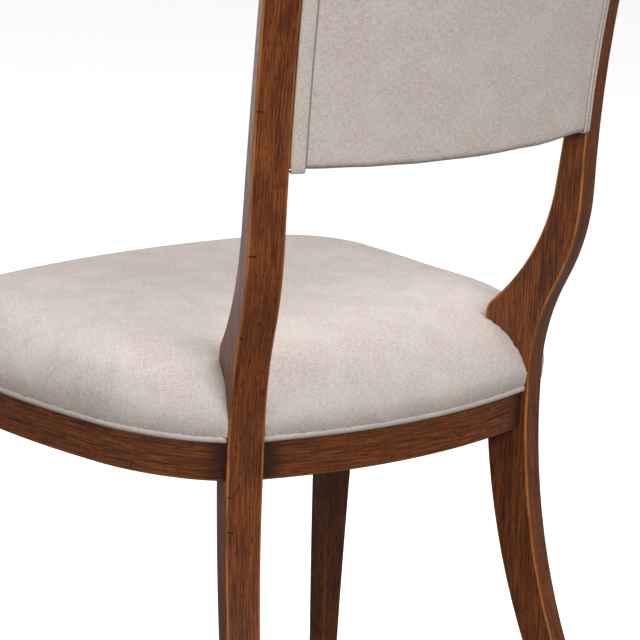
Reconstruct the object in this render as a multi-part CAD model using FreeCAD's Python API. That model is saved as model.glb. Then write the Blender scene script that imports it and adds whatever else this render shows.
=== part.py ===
import FreeCAD, Part
import math
import os

# Klismos dining chair: sawn sabre legs that run up into the back stiles, a bowed seat ring,
# a crowned tight seat notched round the stiles and a curved upholstered back tablet.
# Millimetres and degrees. +Z is up, the sitter faces -Y, and the chair's left is +X.
# A heading is the direction out of the seat ring, turned from straight back towards the left.

Vector = FreeCAD.Vector
UP = Vector(0, 0, 1)

# Heights above the floor
glide_height = 4.0
rail_bottom = 373.0
stile_top = 885.0
tablet_below_top = 14.0
tablet_height = 200.0

# Seat ring in plan, as tangent arcs from the rear centre to the front centre
rear_bow_radius = 552.0
rear_bow_heading = 16.8
rear_corner_radius = 112.0
rear_corner_heading = 50.2
shoulder_radius = 200.0
shoulder_heading = 76.4
side_bow_radius = 770.0
front_corner_radius = 130.0
front_bow_radius = 850.0
ring_depth = 496.0

# Seat rail section
rail_thickness = 26.0
rail_show_height = 36.5
rail_tack_height = 21.5
rail_tack_depth = 7.0
rail_edge_bevel = 1.5

# Back stile and rear leg, sawn from one plank
stile_heading = 24.5
stile_width = 34.0
rail_set_back = 5.0
rear_foot_width = 27.0
rear_foot_depth = 32.0
rear_sabre_radius = 720.0
rear_sabre_top = 407.0
front_sabre_radius = 778.0
front_sabre_top = 358.0
front_sabre_depth = 39.0
ear_depth = 49.0
ear_bottom = 465.0
ear_top = 488.5
ear_lean = 47.0
ear_radius = 200.0
bend_start = 425.0
bend_lean = 25.1
lower_bend_radius = 220.0
upper_bend_radius = 215.0
upper_front_lean = 5.4
upper_front_radius = 3300.0
upper_rear_radius = 1400.0

# Front leg, square in plan and swept outwards and forwards
front_leg_heading = 116.0
front_leg_inset = 1.0
front_leg_width = 40.0
front_leg_depth = 31.0
front_foot_width = 21.0
front_foot_depth = 24.0
front_sweep_heading = 133.0
front_sweep_radius = 1950.0
front_taper_power = 1.05
front_leg_sections = 7
front_leg_bevel = 1.5

# Corner blocks, loose tenons and screws
block_height = 44.0
rear_block_reach = 36.0
rear_block_half_width = 52.0
front_block_reach = 52.0
front_block_half_width = 48.0
tenon_thickness = 8.0
tenon_inset = 21.0
tenon_in_rail = 18.0
tenon_in_stile = 13.0
tenon_margin = 10.0
screw_radius = 2.25
screw_head_radius = 4.5
screw_head_depth = 2.5
screw_in_rail = 14.0
rear_screw_offset = 42.0
front_screw_offset = 36.0
front_screw_length = 44.0
block_gap = 0.3
leg_space_drop = 5.0

# Seat upholstery
deck_thickness = 9.0
deck_edge_gap = 0.5
deck_screw_bite = 6.0
deck_screw_offset = 16.0
cloth = 1.2
welt_radius = 3.75
welt_sides = 6
cushion_bulge = 4.5
cushion_chord = 40.0
widest_above_rail = 18.0
crown_rise = 64.0
crown_edge_power = 5.0
crown_top_power = 1.6
crown_tilt = 2.6
crown_tilt_inset = 55.0
crown_insets = (-2.0, 8.0, 26.0, 55.0, 104.0)
foam_insets = (0.0, 16.0, 48.0, 102.0)
cover_bottom_inset = -2.5
notch_clearance = 0.4
dust_cover_thickness = 0.6
dust_cover_inset = 8.0
staple_inset = 14.0
staple_count = 28
staple_length = 10.0
staple_wire = 0.8

# Back tablet
tablet_proud = 2.0
outside_wadding = 2.3
back_rail_thickness = 20.0
back_rail_height = 42.0
back_board_thickness = 3.0
back_pad_thickness = 14.0
back_pad_crown = 5.0
back_pad_shoulder = 16.0
band_width = 12.0
band_thickness = 1.5
band_drop = 3.0
tablet_end_gap = 0.4
back_tenon_thickness = 8.0
back_tenon_in_rail = 20.0

# Floor glides
glide_radius = 9.0
glide_sides = 16
nail_radius = 1.5
nail_length = 22.0
nail_cover = 1.5

tablet_top = stile_top - tablet_below_top
tablet_bottom = tablet_top - tablet_height
rail_tack_line = rail_bottom + rail_show_height
rail_top = rail_tack_line + rail_tack_height
deck_top = rail_top + deck_thickness
welt_height = rail_tack_line + welt_radius
cover_bottom = rail_tack_line + 2 * welt_radius + 0.1
block_bottom = rail_top - block_height


def outwards(heading):
    """Unit vector out of the ring at a heading."""
    angle = math.radians(heading)
    return Vector(math.sin(angle), math.cos(angle), 0)


def heading_of(vector):
    return math.degrees(math.atan2(vector.x, vector.y))


def ring_arcs():
    """Centre, radius and last heading of each arc of the ring's left half, from the rear forwards."""
    radii = (rear_bow_radius, rear_corner_radius, shoulder_radius, side_bow_radius)
    ends = (rear_bow_heading, rear_corner_heading, shoulder_heading)
    centre = Vector(0, -rear_bow_radius, 0)
    arcs = []
    for radius, next_radius, end in zip(radii, radii[1:], ends):
        arcs.append((centre, radius, end))
        centre = centre + outwards(end) * (radius - next_radius)
    front_centre = Vector(0, front_bow_radius - ring_depth, 0)
    from_side = side_bow_radius - front_corner_radius
    from_front = front_bow_radius - front_corner_radius
    between = front_centre - centre
    apart = between.Length
    along = (from_side**2 - from_front**2 + apart**2) / (2 * apart)
    across = math.sqrt(from_side**2 - along**2)
    between.normalize()
    corner_centre = centre + between * along + between.cross(UP) * across
    side_end = heading_of(corner_centre - centre)
    corner_end = heading_of(corner_centre - front_centre)
    arcs.append((centre, side_bow_radius, side_end))
    arcs.append((corner_centre, front_corner_radius, corner_end))
    arcs.append((front_centre, front_bow_radius, 180.0))
    return arcs


ARCS = ring_arcs()
CORNER_CENTRE = ARCS[4][0]


def ring_point(heading, inset=0.0):
    """Point of the ring's outer face at a heading, moved inwards by an inset."""
    turned = heading % 360.0
    mirrored = turned > 180.0
    if mirrored:
        turned = 360.0 - turned
    for centre, radius, end in ARCS:
        if turned <= end + 1e-9:
            break
    point = centre + outwards(turned) * (radius - inset)
    if mirrored:
        point.x = -point.x
    return point


def ring_wire(inset, z):
    """Closed outline of the seat ring at an inset and a height."""
    ends = [arc[2] for arc in ARCS[:-1]]
    headings = [-ends[0]] + ends + [360.0 - end for end in reversed(ends)]
    edges = []
    for first, last in zip(headings, headings[1:]):
        points = [ring_point(h, inset) + UP * z for h in (first, (first + last) / 2, last)]
        edges.append(Part.Arc(*points).toShape())
    return Part.Wire(edges)


def ring_chords(inset, z):
    """The same outline as the points of straight chords, for the stuffed seat."""
    headings = []
    begin = 0.0
    for _, radius, end in ARCS:
        count = math.ceil(math.radians(end - begin) * radius / cushion_chord)
        headings += [begin + (end - begin) * i / count for i in range(count)]
        begin = end
    headings += [180.0] + [360.0 - heading for heading in reversed(headings[1:])]
    return [ring_point(heading, inset) + UP * z for heading in headings]


def closed_face(points):
    return Part.Face(Part.makePolygon(points + points[:1]))


def ring_slab(inset, low, high):
    return Part.Face(ring_wire(inset, low)).extrude(UP * (high - low))


def distance_to_ring(start, direction, inset):
    """How far a level line runs inside the ring's left half before it meets the inset outline."""
    begin = -rear_bow_heading
    for centre, radius, end in ARCS:
        offset = start - centre
        offset.z = 0
        nearest = offset.dot(direction)
        room = nearest**2 - offset.dot(offset) + (radius - inset) ** 2
        if room > 0:
            distance = math.sqrt(room) - nearest
            if begin <= heading_of(offset + direction * distance) <= end:
                return distance
        begin = end
    raise ValueError("the line never meets the ring")


def mirror(shape):
    return shape.mirror(Vector(0, 0, 0), Vector(1, 0, 0))


def flat_sided(centre, axis, radius, sides):
    """Regular outline square to an axis, for round pieces drawn with plain sides."""
    side = UP.cross(axis)
    if side.Length < 0.5:
        side = Vector(1, 0, 0)
    side.normalize()
    other = axis.cross(side)
    angles = [2 * math.pi * (i + 0.5) / sides for i in range(sides + 1)]
    return Part.makePolygon([centre + (side * math.cos(a) + other * math.sin(a)) * radius for a in angles])


def prism(start, direction, length, radius, sides=8):
    return Part.Face(flat_sided(start, direction, radius, sides)).extrude(direction * length)


def screw(head, direction, length):
    """Screw from the middle of its head's top, drawn with plain sides."""
    shank = prism(head, direction, length, screw_radius)
    return shank.fuse(prism(head, direction, screw_head_depth, screw_head_radius)).removeSplitter()


# Frame of the left stile: out is its heading, across runs over its width
STILE_OUT = outwards(stile_heading)
STILE_ACROSS = outwards(stile_heading + 90.0)
STILE_SEAT = ring_point(stile_heading) + STILE_OUT * rail_set_back


def on_stile(out, z, across=0.0):
    """Point of the left stile: out behind its rear face at the seat, across from its middle."""
    return STILE_SEAT + STILE_OUT * out + STILE_ACROSS * across + UP * z


def leaning_arc(start, lean_from, lean_to, radius):
    """Middle and end of an upward arc whose lean to the rear changes by a radius."""
    first = math.radians(lean_from)
    turn = radius if lean_to > lean_from else -radius
    ends = []
    for lean in ((lean_from + lean_to) / 2, lean_to):
        angle = math.radians(lean)
        out = start[0] + turn * (math.cos(first) - math.cos(angle))
        ends.append((out, start[1] + turn * (math.sin(angle) - math.sin(first))))
    return ends


def rear_edge():
    """Points of the stile's rear edge from the floor up, and how each stretch is drawn."""
    drop = math.degrees(math.asin((rear_sabre_top - glide_height) / rear_sabre_radius))
    sabre = []
    for angle in (math.radians(drop), math.radians(drop / 2)):
        out = rear_sabre_radius * (1 - math.cos(angle))
        sabre.append((out, rear_sabre_top - rear_sabre_radius * math.sin(angle)))
    flat_end = (0.0, rear_sabre_top)
    lower_start = (0.0, bend_start)
    lower_mid, lower_end = leaning_arc(lower_start, 0.0, bend_lean, lower_bend_radius)
    upper_mid, upper_end = leaning_arc(lower_end, bend_lean, 0.0, upper_bend_radius)
    return sabre, flat_end, lower_start, lower_mid, lower_end, upper_mid, upper_end


UPPER_REAR = rear_edge()[-1]


def rear_of_stile(z):
    """How far behind the seat-level face the upper stile's rear edge lies at a height."""
    rise = z - UPPER_REAR[1]
    return UPPER_REAR[0] + upper_rear_radius - math.sqrt(upper_rear_radius**2 - rise**2)


def stile_outline():
    """Side outline of the sawn plank as a closed wire in the stile's middle plane."""
    sabre, flat_end, lower_start, lower_mid, lower_end, upper_mid, upper_end = rear_edge()
    foot_rear, sabre_mid = sabre
    top_mid_z = (upper_end[1] + stile_top) / 2
    top_rear = (rear_of_stile(stile_top), stile_top)
    top_mid = (rear_of_stile(top_mid_z), top_mid_z)
    ear_tip = (-ear_depth, ear_top)
    ear_mid, ear_end = leaning_arc(ear_tip, ear_lean, upper_front_lean, ear_radius)
    climbed = (stile_top - ear_end[1]) / upper_front_radius
    top_lean = math.degrees(math.asin(math.sin(math.radians(upper_front_lean)) + climbed))
    front_mid, top_front = leaning_arc(ear_end, upper_front_lean, top_lean, upper_front_radius)
    foot_front = (foot_rear[0] - rear_foot_depth, glide_height)
    knee = (-front_sabre_depth, front_sabre_top)
    run = (foot_front[0] - knee[0], foot_front[1] - knee[1])
    chord = math.hypot(*run)
    sag = front_sabre_radius - math.sqrt(front_sabre_radius**2 - chord**2 / 4)
    shin = (knee[0] + run[0] / 2 + sag * run[1] / chord, knee[1] + run[1] / 2 - sag * run[0] / chord)
    ear_foot = (-ear_depth, ear_bottom)

    def arc(*points):
        return Part.Arc(*[on_stile(*point) for point in points]).toShape()

    def line(*points):
        return Part.makeLine(*[on_stile(*point) for point in points])

    edges = [
        arc(foot_rear, sabre_mid, flat_end),
        line(flat_end, lower_start),
        arc(lower_start, lower_mid, lower_end),
        arc(lower_end, upper_mid, upper_end),
        arc(upper_end, top_mid, top_rear),
        line(top_rear, top_front),
        arc(top_front, front_mid, ear_end),
        arc(ear_end, ear_mid, ear_tip),
        line(ear_tip, ear_foot),
        line(ear_foot, knee),
        arc(knee, shin, foot_front),
        line(foot_front, foot_rear),
    ]
    return Part.Wire(edges)


def stile_plank(clearance=0.0):
    """Left plank before its edges are eased, or the space it needs with a clearance all round."""
    face = Part.Face(stile_outline())
    if clearance:
        face = face.makeOffset2D(clearance)
    width = stile_width + 2 * clearance
    face.translate(STILE_ACROSS * (-width / 2))
    return face.extrude(STILE_ACROSS * width)


def tapered_plank():
    """Left plank with both sides of the leg planed to a taper below the seat."""
    half = stile_width / 2
    foot = rear_foot_width / 2
    corners = ((-foot, glide_height), (foot, glide_height), (half, rail_bottom), (half, stile_top + 1),
               (-half, stile_top + 1), (-half, rail_bottom))
    reach = rear_sabre_radius
    points = [on_stile(-reach / 2, z, across) for across, z in corners]
    front_view = Part.Face(Part.makePolygon(points + points[:1]))
    return stile_plank().common(front_view.extrude(STILE_OUT * reach))


def foot_middle_rear():
    foot_rear = rear_edge()[0][0][0]
    return on_stile(foot_rear - rear_foot_depth / 2, 0)


def front_leg_section(z):
    """Inner rear corner, width and depth of the left front leg at a height."""
    drop = rail_bottom - z
    share = drop / (rail_bottom - glide_height)
    width = front_foot_width + (front_leg_width - front_foot_width) * (1 - share) ** front_taper_power
    depth = front_foot_depth + (front_leg_depth - front_foot_depth) * (1 - share)
    outer = CORNER_CENTRE + outwards(front_leg_heading) * (front_corner_radius - front_leg_inset)
    corner = outer + Vector(-front_leg_width, front_leg_depth, 0)
    sweep = front_sweep_radius - math.sqrt(front_sweep_radius**2 - drop**2)
    return corner + outwards(front_sweep_heading) * sweep + UP * z, width, depth


def eased_rectangle(corner, width, depth):
    """Level outline from its inner rear corner, with its four corners bevelled."""
    ease = front_leg_bevel
    turns = ((ease, 0), (width - ease, 0), (width, -ease), (width, ease - depth), (width - ease, -depth),
             (ease, -depth), (0, ease - depth), (0, -ease), (ease, 0))
    return Part.makePolygon([corner + Vector(x, y, 0) for x, y in turns])


def front_leg():
    """Swept and tapered leg, with the part of its head that stands inside the seat ring."""
    step = (rail_bottom - glide_height) / front_leg_sections
    heights = [glide_height + step * i for i in range(front_leg_sections + 1)]
    leg = Part.makeLoft([eased_rectangle(*front_leg_section(z)) for z in heights], True, True)
    corner, width, depth = front_leg_section(rail_bottom)
    head_height = rail_top - rail_bottom
    head = Part.makeBox(width, depth, head_height, corner - Vector(0, depth, 0))
    ring_hollow = ring_slab(rail_thickness, rail_bottom, rail_top)
    return leg.fuse(head.common(ring_hollow))


def front_leg_space(clearance):
    """Room round the head of the left front leg."""
    corner, width, depth = front_leg_section(rail_bottom)
    start = corner - Vector(clearance, depth + clearance, leg_space_drop)
    size = (width + 2 * clearance, depth + 2 * clearance, rail_top - rail_bottom + leg_space_drop)
    return Part.makeBox(*size, start)


def seat_ring():
    """All four rails in one: full thickness below, rebated for the cover above."""
    show = ring_slab(0.0, rail_bottom, rail_tack_line)
    bottom_edges = [edge for edge in show.Edges if edge.BoundBox.ZMax < rail_bottom + 1e-3]
    show = show.makeChamfer(rail_edge_bevel, bottom_edges)
    tack = ring_slab(rail_tack_depth, rail_tack_line, rail_top)
    hollow = ring_slab(rail_thickness, rail_bottom - 1, rail_top + 1)
    ring = show.fuse(tack).cut(hollow)
    plank = stile_plank()
    return ring.cut(plank).cut(mirror(plank))


def seat_rails():
    """The ring cut at the stiles and mitred over the front legs."""
    ring = seat_ring()
    rear, front = sorted(ring.Solids, key=lambda solid: -solid.BoundBox.YMin)
    mitre = CORNER_CENTRE + outwards(front_leg_heading) * ring_depth
    corners = [CORNER_CENTRE, mitre]
    corners += [Vector(-point.x, point.y, 0) for point in reversed(corners)]
    corners = [point + UP * (rail_bottom - 1) for point in corners]
    front_zone = Part.Face(Part.makePolygon(corners + corners[:1]))
    front_zone = front_zone.extrude(UP * (rail_top - rail_bottom + 2))
    sides = sorted(front.cut(front_zone).Solids, key=lambda solid: solid.BoundBox.XMin)
    return rear, front.common(front_zone), sides[1]


def local_box(origin, heading, near, far, half_width, low, high):
    """Upright box that runs from near to far along a heading."""
    out, across = outwards(heading), outwards(heading + 90)
    box = Part.Face(Part.makePolygon([
        origin + out * distance + across * offset + UP * low
        for distance, offset in ((near, -half_width), (far, -half_width), (far, half_width),
                                 (near, half_width), (near, -half_width))
    ]))
    return box.extrude(UP * (high - low))


def rail_tenons():
    """Loose tenons between the rails and the left stile, and across the left mitre."""
    low, high = rail_bottom + tenon_margin, rail_top - tenon_margin
    half = tenon_thickness / 2
    near, far = stile_width / 2 - tenon_in_stile, stile_width / 2 + tenon_in_rail
    beside = on_stile(-rail_set_back - tenon_inset, 0)
    in_mitre = front_corner_radius - (rail_tack_depth + rail_thickness) / 2
    mitre = CORNER_CENTRE + outwards(front_leg_heading) * in_mitre
    return [
        local_box(beside, stile_heading + 90, near, far, half, low, high),
        local_box(beside, stile_heading + 90, -far, -near, half, low, high),
        local_box(mitre, front_leg_heading + 90, -tenon_in_rail, tenon_in_rail, half, low, high),
    ]


def back_tenons():
    """Loose tenons between the left stile and the tablet's two rails."""
    face = -stile_width / 2
    tenons = []
    for rail_low in (tablet_bottom + cloth, tablet_top - cloth - back_rail_height):
        low, high = rail_low + tenon_margin, rail_low + back_rail_height - tenon_margin
        middle = lean_of_tablet((low + high) / 2) + FRAME_REAR - back_rail_thickness / 2
        tenons.append(local_box(on_stile(middle, 0), stile_heading + 90, face - back_tenon_in_rail,
                                face + tenon_in_stile, back_tenon_thickness / 2, low, high))
    return tenons


REAR_BLOCK = (STILE_SEAT, stile_heading, -ear_depth - rear_block_reach, rear_block_half_width)
FRONT_BLOCK = (CORNER_CENTRE, front_leg_heading,
               front_corner_radius - rail_thickness - front_block_reach, front_block_half_width)


def corner_block(block, keep_out):
    """Block that fills the ring's corner and is notched round a leg."""
    origin, heading, near, half_width = block
    box = local_box(origin, heading, near, near + 4 * rail_thickness, half_width, block_bottom, rail_top)
    return box.common(ring_slab(rail_thickness, block_bottom, rail_top)).cut(keep_out)


def block_screw_lines(block, offset, leg_bite):
    """Screws from a block's inner face: one to the rail on each side and one to the leg."""
    origin, heading, near, _ = block
    out, across = outwards(heading), outwards(heading + 90)
    middle = rail_top - block_height / 2
    lines = []
    for side in (-1, 1):
        start = origin + out * near + across * (side * offset)
        length = distance_to_ring(start, out, rail_thickness) + screw_in_rail
        lines.append((start + UP * middle, out, length))
    lines.append((origin + out * near + UP * middle, out, leg_bite))
    return lines


def deck_screw_line(block, offset):
    """Upright screw from under a block into the deck."""
    origin, heading, near, _ = block
    start = origin + outwards(heading) * (near + offset) + outwards(heading + 90) * offset
    return start + UP * block_bottom, UP, block_height + deck_screw_bite


def screws(lines):
    return [screw(start, direction, length) for start, direction, length in lines]


def crown_height(inset):
    """Height of the cushion's outer face at an inset from the ring, above its widest line."""
    reach = ring_depth / 2
    share = max(0.0, 1 - (inset + cushion_bulge) / reach)
    return crown_rise * (1 - share**crown_edge_power) ** (1 / crown_top_power)


def tipped(points, inset):
    """The crown's outline tipped up at the front, more so further in from its edge."""
    share = min(1.0, (inset + cushion_bulge) / (crown_tilt_inset + cushion_bulge))
    rise = math.tan(math.radians(crown_tilt)) * share
    return [point - UP * rise * (point.y + ring_depth / 2) for point in points]


def faceted(outlines):
    """Solid sewn from flat facets between outlines that have equally many points."""
    faces = [closed_face(outlines[0]), closed_face(outlines[-1])]
    for low, high in zip(outlines, outlines[1:]):
        corners = zip(low, low[1:] + low[:1], high[1:] + high[:1], high)
        for first, second, third, fourth in corners:
            faces += [closed_face([first, second, third]), closed_face([first, third, fourth])]
    shell = Part.makeShell(faces)
    shell.sewShape()
    return Part.Solid(shell)


def cushion(inside, insets):
    """Crowned cushion body, or the space inside its cover when inside is the cloth."""
    widest = rail_tack_line + widest_above_rail
    bottom = cover_bottom - (1.0 if inside else 0.0)
    outlines = [ring_chords(cover_bottom_inset + inside, bottom), ring_chords(inside - cushion_bulge, widest)]
    for inset in insets:
        outline = ring_chords(inset + inside, widest + crown_height(inset) - inside)
        outlines.append(tipped(outline, inset))
    return faceted(outlines)


def notched(body, clearance):
    plank = stile_plank(clearance)
    return body.cut(plank).cut(mirror(plank))


def seat_upholstery():
    """Foam and its cover, both notched round the stiles."""
    deck_space = ring_slab(rail_tack_depth, rail_bottom, deck_top)
    hollow = notched(cushion(cloth, foam_insets), notch_clearance + cloth)
    cover = notched(cushion(0.0, crown_insets), notch_clearance).cut(hollow).cut(deck_space)
    under = ring_slab(-2 * cushion_bulge, rail_bottom, cover_bottom)
    return hollow.cut(under).cut(deck_space), cover


def welt(headings):
    """Round welt along the rails, between two stiles."""
    edges = []
    for first, last in zip(headings, headings[1:]):
        points = [ring_point(h) + UP * welt_height for h in (first, (first + last) / 2, last)]
        edges.append(Part.Arc(*points).toShape())
    path = Part.Wire(edges)
    start = edges[0].valueAt(edges[0].FirstParameter)
    tangent = edges[0].tangentAt(edges[0].FirstParameter)
    section = flat_sided(start, tangent, welt_radius, welt_sides)
    return notched(path.makePipeShell([section], True, False), notch_clearance)


def staples():
    """Crowns of the staples that hold the dust cover, in a row round its edge."""
    points = ring_wire(staple_inset, rail_bottom - dust_cover_thickness).discretize(Number=staple_count + 1)
    feet = [STILE_SEAT, front_leg_section(rail_bottom)[0]]
    feet += [Vector(-foot.x, foot.y, 0) for foot in feet]
    crowns = []
    for first, last in zip(points, points[1:]):
        middle = (first + last) / 2
        along = (last - first).normalize()
        if min(math.hypot(middle.x - foot.x, middle.y - foot.y) for foot in feet) < 2 * front_leg_width:
            continue
        heading = heading_of(along)
        crowns.append(local_box(Vector(middle.x, middle.y, 0), heading, -staple_length / 2,
                                staple_length / 2, staple_wire / 2, middle.z - staple_wire, middle.z))
    return crowns


# The tablet turns about the line where the inner faces of both stiles would meet
FRAME_REAR = tablet_proud - cloth - outside_wadding
BOARD_FRONT = FRAME_REAR - back_rail_thickness - back_board_thickness
TABLET_RADIUS = on_stile(0, 0, -stile_width / 2).x / STILE_OUT.x
TABLET_AXIS = on_stile(-TABLET_RADIUS, 0, -stile_width / 2)


def in_tablet(out, z):
    """Point of the tablet's middle section: out behind the seat-level face, as on the stile."""
    return TABLET_AXIS + Vector(0, TABLET_RADIUS + out, z)


def lean_of_tablet(z):
    """How far back the tablet leans at a height: the stile's rear edge in two straight stretches."""
    middle = (tablet_bottom + tablet_top) / 2
    low, high = (tablet_bottom, middle) if z < middle else (middle, tablet_top)
    start, end = rear_of_stile(low), rear_of_stile(high)
    return start + (end - start) * (z - low) / (high - low)


def tablet_line(offset, low, high):
    """Points of a line up the tablet at an offset from the stile's rear edge."""
    middle = (tablet_bottom + tablet_top) / 2
    heights = [low, middle, high] if low < middle < high else [low, high]
    return [in_tablet(lean_of_tablet(z) + offset, z) for z in heights]


def turned(face, first=None, last=None):
    """A tablet section turned between two headings, from stile to stile unless given."""
    first = -stile_heading if first is None else first
    last = stile_heading if last is None else last
    placed = face.copy()
    placed.rotate(TABLET_AXIS, UP, -last)
    return placed.revolve(TABLET_AXIS, UP, last - first)


def tablet_strip(front, rear, low, high):
    """Face between two offsets of the stile's rear edge."""
    return closed_face(tablet_line(front, low, high) + tablet_line(rear, low, high)[::-1])


def pad_face(rear, low, high, thickness):
    """Side view of the padded front: flat behind, round shoulders and a shallow crown in front."""
    lower = []
    for angle in (0, 45, 90):
        depth = thickness * math.sin(math.radians(angle))
        lower.append((depth, back_pad_shoulder * (1 - math.cos(math.radians(angle)))))
    front = [(depth, low + rise) for depth, rise in lower]
    front.append((thickness + back_pad_crown, (low + high) / 2))
    front += [(depth, high - rise) for depth, rise in reversed(lower)]
    points = [in_tablet(lean_of_tablet(z) + BOARD_FRONT - depth, z) for depth, z in front]
    behind = tablet_line(rear, low, high)[::-1]
    if rear == BOARD_FRONT:
        behind = behind[1:-1]
    return closed_face(points + behind)


def between_stiles(body):
    """Soft tablet piece trimmed to stand clear of both stiles."""
    plank = stile_plank(tablet_end_gap)
    return body.cut(plank).cut(mirror(plank))


def tablet_nodes():
    """Frame, stuffing and covers of the back tablet."""
    low, high = tablet_bottom, tablet_top
    inner_low, inner_high = low + cloth, high - cloth
    cover_rear = tablet_proud - cloth
    frame_front = FRAME_REAR - back_rail_thickness
    tenons = back_tenons()
    tenons += [mirror(tenon) for tenon in tenons]
    nodes = {"back_tenons": Part.makeCompound(tenons)}
    for name, rail_low in (("back_bottom_rail", inner_low), ("back_top_rail", inner_high - back_rail_height)):
        rail = turned(tablet_strip(frame_front, FRAME_REAR, rail_low, rail_low + back_rail_height))
        nodes[name] = rail.cut(tenons)
    board = tablet_strip(BOARD_FRONT, frame_front, inner_low, inner_high)
    wadding = tablet_strip(FRAME_REAR, cover_rear, inner_low, inner_high)
    pad = pad_face(BOARD_FRONT, inner_low, inner_high, back_pad_thickness)
    envelope = pad_face(cover_rear, inner_low, inner_high, back_pad_thickness)
    front_cover = pad_face(cover_rear, low, high, back_pad_thickness + cloth).cut(envelope)
    rear_cover = tablet_strip(cover_rear, tablet_proud, low, high)
    band = tablet_strip(tablet_proud, tablet_proud + band_thickness, low - band_drop, high)
    band_turn = math.degrees(band_width / TABLET_RADIUS)
    nodes["back_board"] = between_stiles(turned(board))
    nodes["back_pad"] = between_stiles(turned(pad))
    nodes["outside_back_wadding"] = between_stiles(turned(wadding))
    nodes["inside_back_cover"] = between_stiles(turned(front_cover))
    nodes["outside_back_cover"] = between_stiles(turned(rear_cover))
    left_band = turned(band, stile_heading - band_turn, stile_heading)
    nodes["back_band_left"] = between_stiles(left_band)
    nodes["back_band_right"] = mirror(nodes["back_band_left"])
    return nodes


def glide_places():
    """Middle of the left feet at the floor, rear then front."""
    corner, width, depth = front_leg_section(glide_height)
    front = corner + Vector(width / 2, -depth / 2, -glide_height)
    return foot_middle_rear(), front


def glides_and_nails():
    """Nylon glides and the nails moulded into them, one of each under every foot."""
    glides, nails = [], []
    for place in glide_places():
        nail = prism(place + UP * nail_cover, UP, nail_length, nail_radius)
        glides.append(prism(place, UP, glide_height, glide_radius, glide_sides).cut(nail))
        nails.append(nail)
    return glides, nails


def both_sides(shapes):
    return Part.makeCompound(shapes + [mirror(shape) for shape in shapes])


def chair_nodes():
    """Every node of the chair, by name."""
    nodes = tablet_nodes()
    glides, nails = glides_and_nails()
    nodes["floor_glides"] = both_sides(glides)
    nodes["glide_nails"] = both_sides(nails)

    rear_lines = block_screw_lines(REAR_BLOCK, rear_screw_offset, rear_block_reach + screw_in_rail)
    front_lines = block_screw_lines(FRONT_BLOCK, front_screw_offset, front_screw_length)
    deck_lines = [deck_screw_line(block, deck_screw_offset) for block in (REAR_BLOCK, FRONT_BLOCK)]
    block_screws = screws(rear_lines + front_lines)
    deck_screws = screws(deck_lines)
    tenons = rail_tenons()
    nodes["corner_block_screws"] = both_sides(block_screws)
    nodes["seat_board_screws"] = both_sides(deck_screws)
    nodes["rail_tenons"] = both_sides(tenons)

    rear_leg = tapered_plank().cut(tenons + back_tenons() + block_screws + nails)
    leg = front_leg().cut(block_screws + nails)
    nodes["rear_leg_left"] = rear_leg
    nodes["rear_leg_right"] = mirror(rear_leg)
    nodes["front_leg_left"] = leg
    nodes["front_leg_right"] = mirror(leg)

    rear_rail, front_rail, side_rail = seat_rails()
    rail_cuts = tenons + block_screws
    both_cuts = rail_cuts + [mirror(cut) for cut in rail_cuts]
    side_rail = side_rail.cut(rail_cuts)
    nodes["rear_seat_rail"] = rear_rail.cut(both_cuts)
    nodes["front_seat_rail"] = front_rail.cut(both_cuts)
    nodes["left_seat_rail"] = side_rail
    nodes["right_seat_rail"] = mirror(side_rail)

    block_cuts = block_screws + deck_screws
    rear_block = corner_block(REAR_BLOCK, stile_plank(block_gap)).cut(block_cuts)
    front_block = corner_block(FRONT_BLOCK, front_leg_space(block_gap)).cut(block_cuts)
    nodes["rear_left_corner_block"] = rear_block
    nodes["rear_right_corner_block"] = mirror(rear_block)
    nodes["front_left_corner_block"] = front_block
    nodes["front_right_corner_block"] = mirror(front_block)

    deck = notched(ring_slab(rail_tack_depth + deck_edge_gap, rail_top, deck_top), notch_clearance)
    nodes["seat_board"] = deck.cut(deck_screws + [mirror(item) for item in deck_screws])
    nodes["seat_foam"], nodes["seat_cover"] = seat_upholstery()
    ends = [arc[2] for arc in ARCS[:-1]]
    nodes["seat_welt_rear"] = welt([-stile_heading, -ends[0], ends[0], stile_heading])
    round_front = ends[1:] + [360.0 - end for end in reversed(ends[1:])]
    nodes["seat_welt_front"] = welt([stile_heading] + round_front + [360.0 - stile_heading])

    lining = ring_slab(dust_cover_inset, rail_bottom - dust_cover_thickness, rail_bottom)
    leg_space = front_leg_space(notch_clearance)
    nodes["dust_cover"] = notched(lining, notch_clearance).cut([leg_space, mirror(leg_space)])
    nodes["dust_cover_staples"] = Part.makeCompound(staples())
    return nodes


nodes = chair_nodes()
extent = Part.makeCompound(list(nodes.values())).optimalBoundingBox()
to_origin = Vector(0, -(extent.YMin + extent.YMax) / 2, 0)
os.makedirs("parts", exist_ok=True)
for name, shape in nodes.items():
    shape.translate(to_origin)
    shape.exportStep(f"parts/{name}.step")
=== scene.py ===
import math

import bmesh
import bpy
from mathutils import Matrix, Vector, noise


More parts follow.
